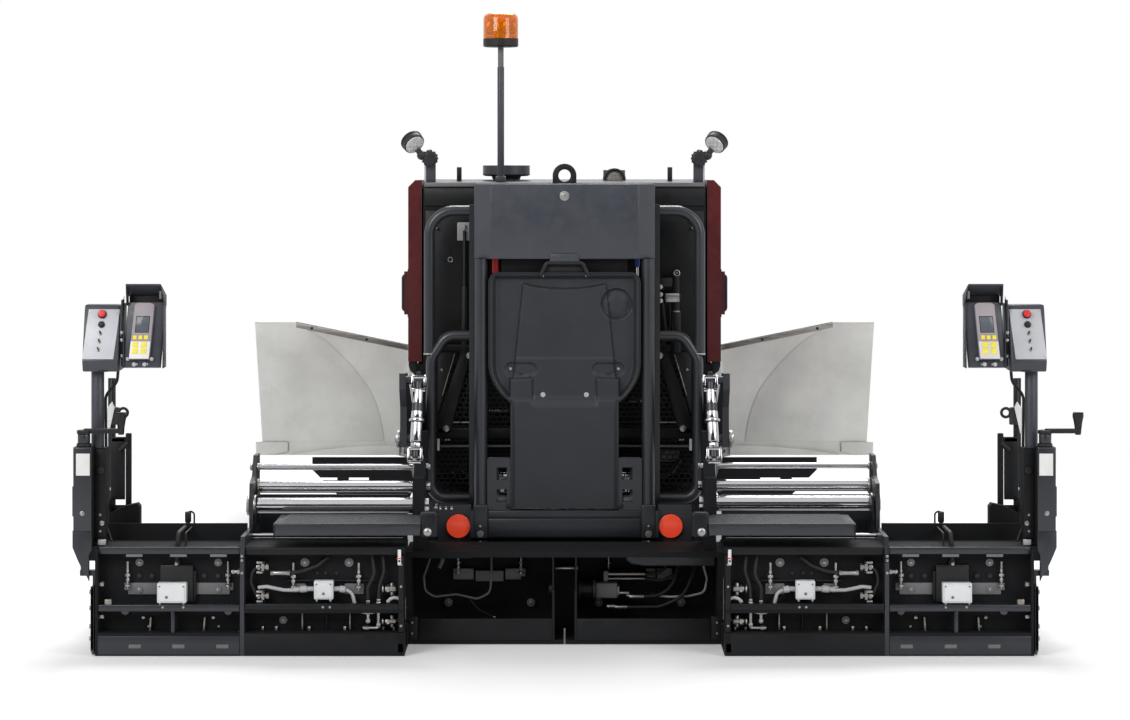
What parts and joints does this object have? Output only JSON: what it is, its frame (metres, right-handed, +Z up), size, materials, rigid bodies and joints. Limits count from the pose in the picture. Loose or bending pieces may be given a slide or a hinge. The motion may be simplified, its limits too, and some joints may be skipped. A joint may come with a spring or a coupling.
{
  "type": "compact tracked asphalt paver",
  "caption": "Compact tracked asphalt paver with folding hopper wings, a hydraulically extending screed with bolt-on extensions, end gates and handset posts.",
  "frame": {"origin": "on the ground, midway between the ends and the sides of the machine", "axes": "+X to the machine's right, +Y forwards towards the push rollers, +Z up"},
  "size_m": [3.6736, 4.9, 2.3826],
  "materials": {
    "chassis_paint": "semi-gloss paint",
    "slate_paint": "satin slate paint",
    "black_paint": "satin black paint",
    "dark_paint": "satin paint",
    "maroon_paint": "satin dark red paint",
    "hopper_paint": "satin off-white paint, scuffed",
    "wear_steel": "bare worn steel",
    "engine_iron": "painted casting",
    "amber_lens": "clear amber lens",
    "lamp_grey": "lamp housing",
    "charcoal_plastic": "moulded plastic",
    "track_rubber": "rubber",
    "chrome_rod": "polished chrome"
  },
  "bodies": {
    "tractor": {"auger_gearbox": "black_paint", "beacon": "amber_lens", "chassis_plate_left": "chassis_paint", "chassis_plate_right": "chassis_paint", "console_box": "slate_paint", "conveyor": "wear_steel", "conveyor_floor": "wear_steel", "engine": "engine_iron", "handrail_left": "slate_paint", "handrail_right": "slate_paint", "hood_front_wall": "dark_paint", "hood_rear_wall": "black_paint", "hood_roof": "slate_paint", "hopper_base_left": "slate_paint", "hopper_base_right": "slate_paint", "hopper_bulkhead": "hopper_paint", "lower_body": "black_paint", "moulded_cover": "charcoal_plastic", "push_beam": "slate_paint", "rear_guard": "black_paint", "station_beam": "slate_paint", "station_post_left": "slate_paint", "station_post_right": "slate_paint", "track_frame_left": "black_paint", "track_frame_right": "black_paint", "track_left": "track_rubber", "track_right": "track_rubber", "work_lamp_left": "lamp_grey", "work_lamp_right": "lamp_grey"},
    "hopper_wing_left": {"hopper_wing_left": "hopper_paint"},
    "wing_cylinder_left": {"wing_cylinder_left": "black_paint"},
    "wing_rod_left": {"wing_rod_left": "chrome_rod"},
    "side_door_left": {"side_door_left": "maroon_paint"},
    "auger_left": {"auger_left": "wear_steel"},
    "push_roller_left": {"push_roller_left": "wear_steel"},
    "extension_left": {"extension_left": "slate_paint", "carrier_left": "slate_paint", "guide_tubes_left": "chrome_rod", "bolt_on_left": "slate_paint", "control_station_left": "black_paint"},
    "end_gate_left": {"end_gate_left": "slate_paint"},
    "hopper_wing_right": {"hopper_wing_right": "hopper_paint"},
    "wing_cylinder_right": {"wing_cylinder_right": "black_paint"},
    "wing_rod_right": {"wing_rod_right": "chrome_rod"},
    "side_door_right": {"side_door_right": "maroon_paint"},
    "auger_right": {"auger_right": "wear_steel"},
    "push_roller_right": {"push_roller_right": "wear_steel"},
    "extension_right": {"extension_right": "slate_paint", "carrier_right": "slate_paint", "guide_tubes_right": "chrome_rod", "bolt_on_right": "slate_paint", "control_station_right": "black_paint"},
    "end_gate_right": {"end_gate_right": "slate_paint"},
    "front_apron": {"front_apron": "hopper_paint"},
    "screed": {"main_screed": "slate_paint", "tow_arm_left": "slate_paint", "tow_arm_right": "slate_paint", "step_left": "black_paint", "step_right": "black_paint"}
  },
  "joints": [
    {"name": "screed_lift", "type": "hinge", "parent": "tractor", "child": "screed", "pos_m": [-0.05275, -0.175, 0.33], "axis": [-1, 0, 0], "range_deg": [0, 5]},
    {"name": "wing_fold_left", "type": "hinge", "parent": "tractor", "child": "hopper_wing_left", "pos_m": [-0.73275, 0, 0.52], "axis": [0, 1, 0], "range_deg": [0, 45]},
    {"name": "wing_cylinder_swing_left", "type": "hinge", "parent": "tractor", "child": "wing_cylinder_left", "pos_m": [-0.39775, 1.11, 0.27], "axis": [0, 1, 0], "range_deg": [0, 16.5]},
    {"name": "wing_rod_slide_left", "type": "slide", "parent": "wing_cylinder_left", "child": "wing_rod_left", "axis": [-0.9736, 0, 0.2281], "range_m": [0, 0.1]},
    {"name": "side_door_hinge_left", "type": "hinge", "parent": "tractor", "child": "side_door_left", "pos_m": [-0.67475, -0.121, 1.3], "axis": [0, 0, -1], "range_deg": [0, 80]},
    {"name": "auger_spin_left", "type": "hinge", "parent": "tractor", "child": "auger_left", "pos_m": [-0.45275, -1.65, 0.2], "axis": [1, 0, 0], "continuous": true},
    {"name": "push_roller_spin_left", "type": "hinge", "parent": "tractor", "child": "push_roller_left", "pos_m": [-0.30275, 2.375, 0.33], "axis": [1, 0, 0], "continuous": true},
    {"name": "extension_slide_left", "type": "slide", "parent": "screed", "child": "extension_left", "axis": [1, 0, 0], "range_m": [0, 0.56]},
    {"name": "end_gate_lift_left", "type": "slide", "parent": "extension_left", "child": "end_gate_left", "axis": [0, 0, 1], "range_m": [0, 0.07]},
    {"name": "wing_fold_right", "type": "hinge", "parent": "tractor", "child": "hopper_wing_right", "pos_m": [0.62725, 0, 0.52], "axis": [0, -1, 0], "range_deg": [0, 45]},
    {"name": "wing_cylinder_swing_right", "type": "hinge", "parent": "tractor", "child": "wing_cylinder_right", "pos_m": [0.29225, 1.11, 0.27], "axis": [0, -1, 0], "range_deg": [0, 16.5]},
    {"name": "wing_rod_slide_right", "type": "slide", "parent": "wing_cylinder_right", "child": "wing_rod_right", "axis": [0.9736, 0, 0.2281], "range_m": [0, 0.1]},
    {"name": "side_door_hinge_right", "type": "hinge", "parent": "tractor", "child": "side_door_right", "pos_m": [0.56925, -0.121, 1.3], "axis": [0, 0, 1], "range_deg": [0, 80]},
    {"name": "auger_spin_right", "type": "hinge", "parent": "tractor", "child": "auger_right", "pos_m": [0.34725, -1.65, 0.2], "axis": [1, 0, 0], "continuous": true},
    {"name": "push_roller_spin_right", "type": "hinge", "parent": "tractor", "child": "push_roller_right", "pos_m": [0.19725, 2.375, 0.33], "axis": [1, 0, 0], "continuous": true},
    {"name": "extension_slide_right", "type": "slide", "parent": "screed", "child": "extension_right", "axis": [-1, 0, 0], "range_m": [0, 0.56]},
    {"name": "end_gate_lift_right", "type": "slide", "parent": "extension_right", "child": "end_gate_right", "axis": [0, 0, 1], "range_m": [0, 0.07]},
    {"name": "apron_fold", "type": "hinge", "parent": "tractor", "child": "front_apron", "pos_m": [-0.05275, 2.14, 0.47], "axis": [-1, 0, 0], "range_deg": [0, 70]}
  ],
  "couplings": [
    {"joint": "wing_cylinder_swing_left", "follows": "wing_fold_left", "ratio": 0.353},
    {"joint": "wing_rod_slide_left", "follows": "wing_fold_left", "m_per_rad": 0.121},
    {"joint": "wing_cylinder_swing_right", "follows": "wing_fold_right", "ratio": 0.353},
    {"joint": "wing_rod_slide_right", "follows": "wing_fold_right", "m_per_rad": 0.121}
  ]
}
